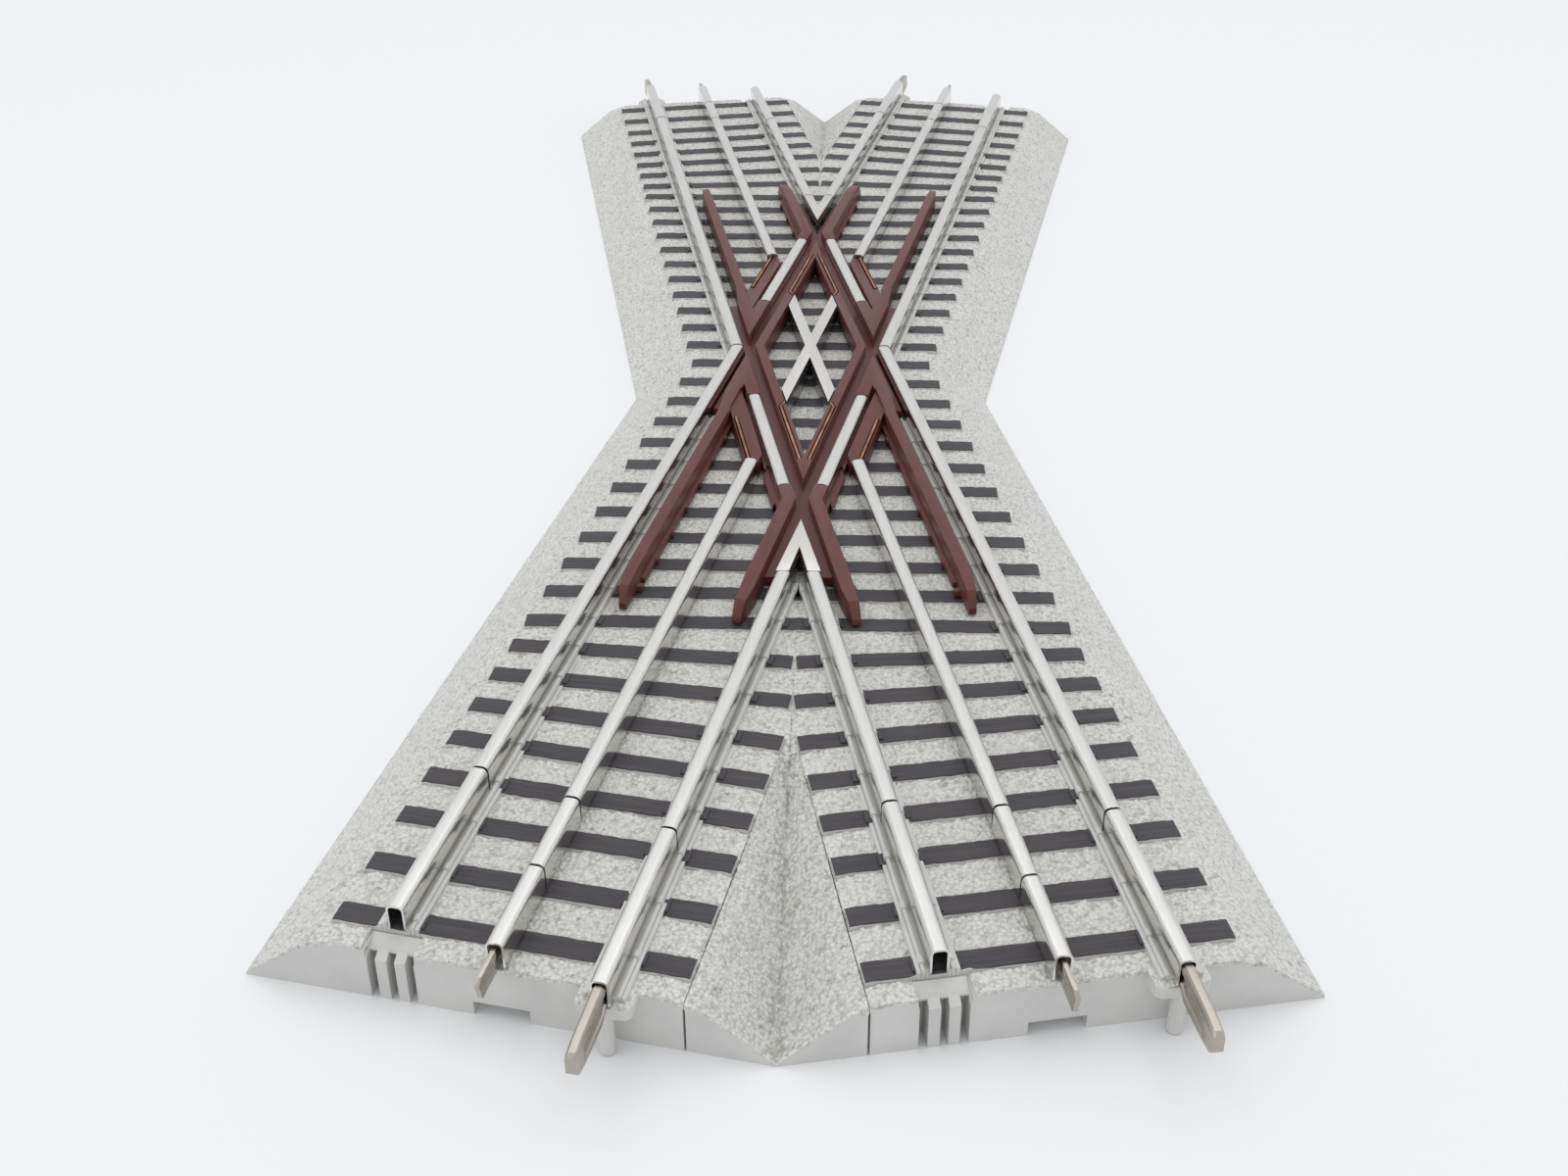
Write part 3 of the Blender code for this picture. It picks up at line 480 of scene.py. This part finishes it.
def tie_cover(x, y):
    """How deep each point lies in a tie's outline, negative outside, and whether it is by its near edge."""
    depth = np.full(x.shape, -9.0)
    near = np.zeros(x.shape, bool)
    for cx, cy, turn, half, side in all_ties():
        c, s = math.cos(turn), math.sin(turn)
        u = (x - cx) * c + (y - cy) * s
        v = -(x - cx) * s + (y - cy) * c
        inside = np.minimum(half - np.abs(u), TIE_WIDTH / 2 - np.abs(v))
        if side:
            inside = np.minimum(inside, side * x - TIE_MITRE)
        closer = inside > depth
        near = np.where(closer, (v < -0.5) & (np.abs(u) < half - 2.0), near)
        depth = np.where(closer, inside, depth)
    return depth, near


def shoulder(x, y):
    """The height of the ballast's smooth surface."""
    near = np.minimum(np.abs(offset("A", x, y)), np.abs(offset("B", x, y)))
    return np.interp(near, *zip(*SHOULDER))


def in_recess(x, y, grow):
    """Whether each point lies in the cut over the fins at a socket rail's end, made larger by grow."""
    found = np.zeros(np.shape(x), bool)
    for track, turn in ARMS.values():
        n, t = turn * offset(track, x, y), turn * along(track, x, y)
        found |= (n > RECESS[0] - grow) & (n < RECESS[1] + grow) & (t < -HALF_LENGTH + STAGGER + grow)
    return found


def skin_mesh(name, x, y, z, pit, material, keep=None):
    """A sheet over a grid of points, with its open edges turned down by SKIN_ROOT.

    pit is how little painted shade each point gets, which the ballast's material reads, and keep is where
    there is a sheet.
    """
    rows, columns = x.shape
    points = np.stack([x, y, z], -1).reshape(-1, 3)
    index = np.arange(rows * columns).reshape(rows, columns)
    faces = grid_faces(index)
    if keep is not None:
        faces = faces[keep.reshape(-1)[faces].all(axis=1)]
    corners = points[faces]
    area = np.cross(corners[:, 2] - corners[:, 0], corners[:, 3] - corners[:, 1])[:, 2].sum()
    if area < 0:
        faces = faces[:, ::-1]
    edges = np.concatenate([faces[:, [k, (k + 1) % 4]] for k in range(4)])
    codes = edges[:, 0] * len(points) + edges[:, 1]
    reverse = edges[:, 1] * len(points) + edges[:, 0]
    rim = edges[~np.isin(codes, reverse)]
    ends, place = np.unique(rim, return_inverse=True)
    place = place.reshape(rim.shape) + len(points)
    skirt = points[ends].copy()
    skirt[:, 2] = np.maximum(skirt[:, 2] - SKIN_ROOT, SKIN_CLEARANCE)
    sides = np.stack([rim[:, 1], rim[:, 0], place[:, 0], place[:, 1]], -1)
    points = np.concatenate([points, skirt])
    used, fresh = np.unique(np.concatenate([faces, sides]), return_inverse=True)
    faces = fresh.reshape(-1, 4)
    made = make_object(name, points[used], faces.tolist(), material, sharp=75)
    pits = np.concatenate([pit.ravel(), np.ones(len(ends))])[used]
    data = made.data.attributes.new("pit", "FLOAT", "POINT")
    data.data.foreach_set("value", pits.astype(np.float32))
    return made


def ballast_skin(name, x, y, body, material, rim, unshaded=1.0):
    """The ballast's lumpy surface over a grid of places.

    rim is 0 where it comes down to the smooth surface, and the last argument is lower where more painted
    shade darkens the grains.
    """
    base = shoulder(x, y)
    coarse = grains(x, y, GRAIN) * 0.72 + grains(x + 31.7, y - 12.3, GRAIN * 0.62, 7) * 0.28
    # The grains lie flatter towards the shoulder's foot.
    slope = np.interp(base, (0.5, 6.0, 9.9), (0.25, 0.55, 1.0))
    lump = GRAIN_HEIGHT * (coarse - 0.45) * (0.25 + 0.75 * rim) * slope
    depth, near = tie_cover(x, y)
    # By a tie's near edge the grains lap over it in places, and in others leave its side showing.
    lap = np.interp(grains(x, y, 7.0, 19), (0.2, 0.6), (-0.36, 0.12))
    ragged = np.where(near, 0.45 * grains(x - 5.1, y + 9.4, 1.3, 11) + lap, 0.05)
    covered = depth + ragged > 0.0
    z = np.where(covered, base - 0.45, base + lump)
    # Painted shade: the low places between grains darken, more so where the last argument is low.
    pit = np.where(rim > 0.0, coarse * unshaded, 1.0)
    made = skin_mesh(name, x, y, z, pit, material, ~in_recess(x, y, SKIN_CLEARANCE))
    return piece(made, body, "ballast")


def seam_closing(t):
    """How far each side of a filler's seam reaches out over it, which closes it up towards the tip."""
    return np.interp(t, SEAM_OPEN, (SEAM_NARROWING, SEAM_GAP / 2 - 0.01))


def build_shells(nodes, material):
    """The roadbed and the fillers as in the CAD model, with their tops let down under the ballast's skin."""
    slack = 0.02
    for name, body in (("roadbed", "crossing"), ("near_ballast_filler", "near_filler"),
                       ("far_ballast_filler", "far_filler")):
        mesh = nodes[name].data.copy()
        count = len(mesh.vertices)
        points = np.empty(count * 3, np.float32)
        mesh.vertices.foreach_get("co", points)
        points = points.reshape(-1, 3) / MM
        x, y, z = points.T
        base = shoulder(x, y)
        ends = np.zeros(count, bool)
        saddle_edge = np.zeros(count, bool)
        for track, turn in ARMS.values():
            n, t = turn * offset(track, x, y), turn * along(track, x, y)
            in_saddle = (n > SADDLE[0] - slack) & (n < SADDLE[1] + slack)
            ends |= (t < -HALF_LENGTH - slack / 2) & (np.abs(n) < HALF_WIDTH)
            ends |= in_saddle & (t < SADDLE_BACK) & (np.abs(z - DECK_TOP) > slack)
            saddle_edge |= in_saddle & (np.abs(t - SADDLE_EDGE) < slack)
        # The tops of the ends' small parts stay, and only the ballast's own surface is let down.
        top = (z > base - slack) & ~ends
        z = np.where(top, np.maximum(base - SKIN_DROP, 0.2), z)
        # The saddle behind the fins slopes down to them.
        points[:, 2] = np.where(saddle_edge & (z > 9.5), SADDLE_FRONT, z)
        mesh.vertices.foreach_set("co", (points * MM).astype(np.float32).ravel())
        mesh.materials.clear()
        mesh.materials.append(material)
        for polygon in mesh.polygons:
            polygon.material_index = 0
        piece(link_object(name + "_shell", mesh), body, "ballast", name)


def build_arm_ballast(material):
    """The grains over each arm, from the outer edge to the middle line or the seam beside a filler."""
    edge = HALF_WIDTH - 0.05
    end_t = HALF_LENGTH - 0.02
    seam = SEAM - SEAM_GAP / 2
    # The rows meet the back of the end recess, and the columns its sides.
    back = (STAGGER + 0.01) / end_t
    v = np.concatenate([np.linspace(0.0, back, 10, endpoint=False),
                        np.linspace(back, 1.0, round(end_t / GRAIN_STEP))])[:, None]
    for arm, (track, turn) in ARMS.items():
        lean = TRACKS[track]
        low, high = sorted((lean * (RECESS[0] - SKIN_CLEARANCE), lean * (RECESS[1] + SKIN_CLEARANCE)))
        stops = (-edge, low, high, seam)
        counts = [max(8, round((b - a) / GRAIN_STEP)) for a, b in zip(stops, stops[1:])]
        columns = [np.linspace(a, b, count, endpoint=False)
                   for a, b, count in zip(stops, stops[1:], counts)]
        u = ((np.concatenate([*columns, [seam]]) + edge) / (seam + edge))[None, :]
        # Rows run from the arm's end to the waist, and columns from the outer edge to the middle line.
        outer_t = -(end_t + (edge * TAN - end_t) * v)
        inner_t = -end_t * (1.0 - v)
        # Beyond the filler's blunt tip the inner edge follows the seam, which closes up towards the tip.
        inner_n = np.where(inner_t < -FILLER_TIP * COS, seam + seam_closing(inner_t), -inner_t * TAN)
        n = -edge + (inner_n + edge) * u
        t = outer_t + (inner_t - outer_t) * u
        x, y = across("A", n, t)
        rim = np.ones(x.shape)
        rim[0], rim[:, 0] = 0.0, 0.0
        rim[:, -1] = np.where(inner_t[:, 0] < SEAM_OPEN[0], 0.0, 1.0)
        ballast_skin(f"{arm}_ballast", x * lean * turn, y * turn, "crossing", material, rim)


def build_filler_ballast(material):
    """The grains over each filler, with painted shade in patches along its valley."""
    rows, columns = 160, 71
    v = np.linspace(0.0, 1.0, rows)[:, None]
    u = np.linspace(-1.0, 1.0, columns)[None, :]
    # Rows run from the tip to the end face, and columns from side to side.
    seam = SEAM + SEAM_GAP / 2
    tip = FILLER_TIP + 0.02
    end_t = HALF_LENGTH - 0.02
    tip_x = (tip * SIN - seam) / COS
    end_x = across("A", seam, -end_t)[0]
    x = (tip_x + (abs(end_x) - tip_x) * v) * u
    last_y = -(end_t - np.abs(x) * SIN) / COS
    y = -tip + (last_y + tip) * v
    x = x + u * seam_closing(y * COS) / COS
    rim = np.ones(x.shape)
    rim[-1] = 0.0
    rim[:, 0] = rim[:, -1] = np.where(y[:, 0] < SEAM_OPEN[0] / COS, 0.0, 1.0)
    # Painted shade: the grains darken in patches towards the valley.
    from_valley = np.abs(x) + 6.0 * grains(x, y, 3.6, 23)
    unshaded = np.interp(from_valley, (1.2, 4.5, 9.0, 22.0), (0.10, 0.38, 0.56, 0.80))
    for name, side in (("near", 1), ("far", -1)):
        ballast_skin(f"{name}_filler_ballast", x, y * side, f"{name}_filler", material, rim, unshaded)


def build_tongue_ballast(material):
    """The grains over the rounded tongue under each pin rail's end."""
    rows, columns, edge = 12, 22, 0.12
    for arm, (track, turn) in ARMS.items():
        t = np.linspace(-HALF_LENGTH - STAGGER + edge, -HALF_LENGTH + 0.3, rows)[:, None]
        inset = np.clip(TONGUE_CORNER - (t + HALF_LENGTH + STAGGER), 0.0, TONGUE_CORNER)
        rounding = TONGUE_CORNER - np.sqrt(np.maximum(TONGUE_CORNER**2 - inset**2, 0.0))
        half = TONGUE_HALF_WIDTH - edge - rounding
        n = RAIL_OFFSET + half * np.linspace(-1.0, 1.0, columns)[None, :]
        x, y = across(track, turn * n, turn * t)
        rim = np.ones(x.shape)
        rim[0], rim[:, 0], rim[:, -1] = 0.0, 0.0, 0.0
        lump = grains(x, y, GRAIN * 0.8, 3)
        z = DECK_TOP + 0.12 + 0.35 * (lump - 0.2) * rim
        # The grains' heights darken their low places as painted shade.
        piece(skin_mesh(f"{arm}_tongue_ballast", x, y, z, lump, material), "crossing", "ballast")


def build_ties(material, side_material):
    """The ties, with a worn wooden top, as one moulding with the roadbed."""
    rows = np.array([-1.0, -0.93, -0.5, 0.0, 0.5, 0.93, 1.0])
    points, faces, local = [], [], []
    for number, (cx, cy, turn, half, side) in enumerate(all_ties()):
        c, s = math.cos(turn), math.sin(turn)
        low, high = -half, half
        if side:
            # The end that meets the middle line is cut along it.
            limit = (TIE_MITRE * side - cx) / c
            low, high = (max(low, limit), high) if side > 0 else (low, min(high, limit))
        columns = max(4, int((high - low) / 0.9))
        # u runs along the tie and v across it.
        u, v = np.meshgrid(np.linspace(low, high, columns), rows * TIE_WIDTH / 2)
        z = TIE_TOP + 0.05 * np.sin(u * 2.3 + number) * np.cos(v * 2.9 + number * 0.7)
        z -= hashed(np.round(u * 7), np.round(v * 9), number) * 0.09
        z[0], z[-1] = z[0] - 0.16, z[-1] - 0.16
        z[:, 0], z[:, -1] = z[:, 0] - 0.12, z[:, -1] - 0.12
        # The long edges wander a little.
        wave = 0.10 * np.sin(u * 0.9 + number * 1.7 + 1.3 * np.sin(u * 0.31 + number))
        v = v + np.where(np.abs(v) > 1.5, wave * 0.5, 0.0)
        index = len(points) + np.arange(v.size).reshape(v.shape)
        points += np.stack([cx + u * c - v * s, cy + u * s + v * c, z], -1).reshape(-1, 3).tolist()
        local += np.stack([u + number * 71.3, v + number * 13.7, z * 0], -1).reshape(-1, 3).tolist()
        faces += grid_faces(index).tolist()
        ring = np.concatenate([index[0, :-1], index[:-1, -1], index[-1, :0:-1], index[:0:-1, 0]])
        base = len(points)
        for i in ring:
            points.append([*points[i][:2], TIE_TOP - 1.5])
            local.append([local[i][0], local[i][1] + 1.0, 0.0])
        for i in range(len(ring)):
            j = (i + 1) % len(ring)
            faces.append([int(ring[i]), base + i, base + j, int(ring[j])])
    made = make_object("ties", points, faces, material, sharp=40)
    made.data.materials.append(side_material)
    for polygon in made.data.polygons:
        low = min(made.data.vertices[i].co.z for i in polygon.vertices)
        polygon.material_index = 1 if low < (TIE_TOP - 1.0) * MM else 0
    data = made.data.attributes.new("grain", "FLOAT_VECTOR", "POINT")
    data.data.foreach_set("vector", (np.array(local, np.float32) * MM).ravel())
    face_upwards(made)
    piece(made, "crossing", "ballast")


def build_ridges(material, plate_material):
    """The low ridges beside the running rails, with a spike head and a dark plate at each tie."""
    points, faces, plates = [], [], []

    def bar(track, turn, n_range, t_range, z_range, bevel=0.12):
        """Adds a bar along the track with its top edges bevelled."""
        (low_n, high_n), (foot, top) = sorted(n_range), z_range
        profile = ((low_n, foot), (low_n, top - bevel), (low_n + bevel, top),
                   (high_n - bevel, top), (high_n, top - bevel), (high_n, foot))
        first, count = len(points), len(profile)
        for t in t_range:
            points.extend([(*across(track, turn * n, turn * t), z) for n, z in profile])
        for i in range(count):
            j = (i + 1) % count
            faces.append((first + i, first + j, first + count + j, first + count + i))
        faces.append(tuple(range(first, first + count)))
        faces.append(tuple(range(first + count, first + 2 * count)))

    for track, turn in ARMS.values():
        lean = TRACKS[track]
        # A socket rail's ridges stop short of the recess, and a pin rail's run out over the tongue.
        for side, end in ((-1, HALF_LENGTH - STAGGER - 0.3), (1, HALF_LENGTH + 2.4)):
            outward = side * lean < 0
            for face in (-1, 1):
                outside, inside = KNEE_RIDGE_ENDS if outward else FROG_RIDGE_ENDS
                inner = outside if face * side > 0 else inside
                ridge = [side * RAIL_OFFSET + face * reach for reach in RIDGE]
                middle = 0.5 * (min(ridge) + max(ridge))
                # The ridge stops where it would cross the middle lines.
                if outward:
                    inner = max(inner, (abs(middle) * SIN + 0.5) / COS)
                elif face * side > 0:
                    inner = max(inner, (abs(middle) + 0.3) / math.tan(HALF_ANGLE))
                bar(track, turn, ridge, (-end, -inner), (RIDGE_ROOT, RIDGE_TOP))
                channel = [side * RAIL_OFFSET + face * reach
                           for reach in (RAIL_WIDTH / 2 - 0.1, RIDGE[0] + 0.1)]
                bar(track, turn, channel, (-end, -inner), (RIDGE_ROOT, CHANNEL_FLOOR))
                for cx, cy, tilt, _, side_x in all_ties():
                    if turn * cy > -0.1 or (side_x != 0 and abs(offset(track, cx, cy)) > 1.0):
                        continue
                    # Where the tie's centre line crosses the ridge.
                    dx, dy = math.cos(tilt), math.sin(tilt)
                    reach = (turn * middle - offset(track, cx, cy)) / offset(track, dx, dy)
                    t = turn * along(track, cx + reach * dx, cy + reach * dy)
                    if not -end + 1.0 < t < -inner - 1.0:
                        continue
                    half_n, half_t = SPIKE_HALF
                    bar(track, turn, (middle - half_n, middle + half_n), (t - half_t, t + half_t),
                        (SPIKE_ROOT, SPIKE_TOP), 0.25)
                    plate = middle + face * PLATE_OFFSET
                    first = len(faces)
                    bar(track, turn, (plate - PLATE_HALF_WIDTH, plate + PLATE_HALF_WIDTH),
                        (t + PLATE_REACH[0], t + PLATE_REACH[1]), (PLATE_ROOT, PLATE_TOP), 0.1)
                    plates.extend(range(first, len(faces)))
    made = make_object("rail_ridges", points, faces, material, sharp=50)
    made.data.materials.append(plate_material)
    for index in plates:
        made.data.polygons[index].material_index = 1
    face_outwards(made)
    piece(made, "crossing", "ballast")


# ---------------------------------------------------------------- rails


def rail_section(width, foot, top, corner):
    """One face of the folded sheet as (n, z), from foot to foot over the rounded head."""
    half = width / 2
    points = [(-half, foot)]
    for side, first in ((-1, math.pi), (1, math.pi / 2)):
        for k in range(CORNER_STEPS + 1):
            angle = first - k * (math.pi / 2) / CORNER_STEPS
            points.append((side * (half - corner) + corner * math.cos(angle),
                           top - corner + corner * math.sin(angle)))
    points.append((half, foot))
    return points


def build_rail(name, track, centre, start, end, material, foot=RAIL_FOOT, mitres=(None, None)):
    """A smooth rail in place of the faceted one, folded from thin sheet and open below.

    centre is its n, and a mitre is the y, at x = 0, of the cut across an end.
    """
    outer = rail_section(RAIL_WIDTH, foot, RAIL_TOP, RAIL_CORNER)
    inner = rail_section(RAIL_WIDTH - 2 * RAIL_WALL, foot, RAIL_TOP - RAIL_WALL, RAIL_CORNER - RAIL_WALL)
    section = outer + inner[::-1]
    rings = []
    for t, mitre in ((start, mitres[0]), (end, mitres[1])):
        ring = []
        for n, z in section:
            place = t
            if mitre is not None:
                place = (mitre + TRACKS[track] * (centre + n) * SIN) / COS
            ring.append((*across(track, centre + n, place), z))
        rings.append(ring)
    count, half = len(section), len(outer)
    faces = []
    for i in range(count):
        j = (i + 1) % count
        faces.append((i, j, count + j, count + i))
    for base in (0, count):
        for i in range(half - 1):
            faces.append((base + i, base + i + 1, base + count - 2 - i, base + count - 1 - i))
    made = make_object(name + "_smooth", rings[0] + rings[1], faces, material, sharp=35)
    face_outwards(made)
    return piece(made, "crossing", "rail_sheet", name)


def build_rails(metals):
    gap = RAIL_GAP / 2
    outer_joint, inner_joint = CENTRE_JOINTS
    for arm, (track, turn) in ARMS.items():
        metal = metals[track]
        for kind, side, joint, outer_end in (("socket", -1, SOCKET_JOINT, HALF_LENGTH - STAGGER),
                                             ("pin", 1, PIN_JOINT, HALF_LENGTH + STAGGER)):
            centre = side * turn * RAIL_OFFSET
            # An outer rail of the crossing ends at the knee, and an inner one at the frog.
            cut = -turn * (gap if side * TRACKS[track] < 0 else FROG_JOINT + gap)
            build_rail(f"{arm}_{kind}_rail_end", track, centre, -turn * outer_end, -turn * (joint + gap),
                       metal)
            build_rail(f"{arm}_{kind}_rail", track, centre, -turn * (joint - gap), 0.0, metal,
                       mitres=(None, cut))
        for name, start, end in (("_end", HALF_LENGTH, outer_joint + gap),
                                 ("_link", outer_joint - gap, inner_joint + gap),
                                 ("", inner_joint - gap, CENTRE_INNER_END)):
            build_rail(f"{arm}_centre_rail{name}", track, 0.0, -turn * start, -turn * end, metal)
    near, far = SEGMENT_ENDS
    for name, track, side, sign in (("near_left", "B", -1, -1), ("near_right", "A", 1, -1),
                                    ("far_right", "B", 1, 1), ("far_left", "A", -1, 1)):
        build_rail(f"{name}_diamond_rail", track, side * RAIL_OFFSET, sign * near, sign * far, metals[track],
                   foot=FLANGEWAY_FLOOR + 0.3)


# ---------------------------------------------------------------- setting


def paint_nodes(nodes, materials):
    """Gives each CAD node the material of its kind."""
    for name, node in nodes.items():
        if name == "roadbed" or name.endswith("_filler"):
            kind = "plastic"
        elif name == "crossing_insert":
            kind = "brown"
        elif name.endswith(("_contact", "_strap")):
            kind = "copper"
        elif name.endswith(("_pin", "_blade")):
            kind = "pin"
        elif "frog" in name or "casting" in name:
            kind = "cast"
        else:
            kind = "rail_a"
        node.data.materials.clear()
        node.data.materials.append(materials[kind])


def soften(nodes, name, width, material, slot):
    """A copy of a CAD node with its sharp edges rounded off, in place of it."""
    mesh = bmesh.new()
    mesh.from_mesh(nodes[name].data)
    # The CAD's triangles are joined into whole faces first.
    bmesh.ops.remove_doubles(mesh, verts=mesh.verts, dist=0.002 * MM)
    bmesh.ops.dissolve_limit(mesh, angle_limit=math.radians(1.0), verts=mesh.verts, edges=mesh.edges)
    sharp = [e for e in mesh.edges if e.is_manifold and e.calc_face_angle(0.0) > math.radians(25)]
    bmesh.ops.bevel(mesh, geom=sharp, offset=width * MM, segments=2, profile=0.5, affect="EDGES",
                    clamp_overlap=True)
    data = bpy.data.meshes.new(name + "_soft")
    mesh.to_mesh(data)
    mesh.free()
    data.materials.append(material)
    data.shade_smooth()
    data.set_sharp_from_angle(angle=math.radians(40))
    return piece(link_object(name + "_soft", data), "crossing", slot, name)


def build_castings(nodes, materials):
    """The brown insert, the castings, the pins and the blades, with rounded edges."""
    soften(nodes, "crossing_insert", CASTING_EDGE, materials["brown"], "brown_moulding")
    for name in nodes:
        if "frog" in name or "casting" in name:
            soften(nodes, name, CASTING_EDGE, materials["cast"], "cast_metal")
        elif name.endswith("_pin"):
            soften(nodes, name, PIN_EDGE, materials["pin"], "cast_metal")
        elif name.endswith("_blade"):
            soften(nodes, name, BLADE_EDGE, materials["pin"], "cast_metal")


def build_setting():
    """The floor, the lights and the camera."""
    scene = bpy.context.scene
    for item in list(bpy.data.objects):
        if item.type in ("LIGHT", "CAMERA") or item.name == "Cube":
            bpy.data.objects.remove(item, do_unlink=True)
    camera = link_object("camera", bpy.data.cameras.new("camera"))
    camera.location = CAMERA_PLACE
    camera.rotation_euler = tuple(math.radians(angle) for angle in CAMERA_TURN)
    camera.data.sensor_width = SENSOR
    camera.data.lens = FOCAL_LENGTH * SENSOR
    camera.data.clip_start = 0.01
    scene.camera = camera

    corners = [(x * FLOOR_HALF, y * FLOOR_HALF, 0) for x, y in ((-1, -1), (1, -1), (1, 1), (-1, 1))]
    make_object("floor", corners, [(0, 1, 2, 3)], floor_material())
    world = bpy.data.worlds.new("studio")
    scene.world = world
    world.use_nodes = True
    world.node_tree.nodes["Background"].inputs["Color"].default_value = SKY
    world.node_tree.nodes["Background"].inputs["Strength"].default_value = SKY_STRENGTH
    for name, place, size, power, colour in LAMPS:
        light = bpy.data.lights.new(name, "AREA")
        light.energy = power
        light.size = size
        light.color = colour
        lamp = link_object(name, light)
        lamp.location = place
        lamp.rotation_euler = (-Vector(place)).to_track_quat("-Z", "Y").to_euler()
    scene.view_settings.view_transform = "Standard"
    scene.view_settings.look = "None"


def main():
    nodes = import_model()["nodes"]
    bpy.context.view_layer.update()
    materials = {
        "plastic": moulding_material("roadbed_plastic", (0.62, 0.615, 0.59), 0.5, 0.03),
        "brown": moulding_material("brown_plastic", (0.122, 0.040, 0.034), 0.38, 0.05, 0.34),
        "copper": copper_material(),
        # The pair after each roughness darkens upright faces as painted shade, and smooths them.
        "pin": metal_material("pin_nickel", (0.52, 0.475, 0.42), 0.3, (0.9, 0.05)),
        "cast": metal_material("cast_white_metal", (0.75, 0.725, 0.69), 0.42, (0.5, 0.22), 0.05, 0.9),
        "rail_a": metal_material("rail_nickel_a", (0.80, 0.785, 0.76), 0.34, (0.92, 0.17), turn=-HALF_ANGLE),
        "rail_b": metal_material("rail_nickel_b", (0.80, 0.785, 0.76), 0.34, (0.92, 0.17), turn=HALF_ANGLE),
    }
    paint_nodes(nodes, materials)
    build_shells(nodes, materials["plastic"])
    grain = ballast_material()
    build_arm_ballast(grain)
    build_filler_ballast(grain)
    build_tongue_ballast(grain)
    wood = tie_material()
    build_ties(wood, materials["plastic"])
    build_ridges(materials["plastic"], wood)
    build_rails({"A": materials["rail_a"], "B": materials["rail_b"]})
    build_castings(nodes, materials)
    build_setting()


main()
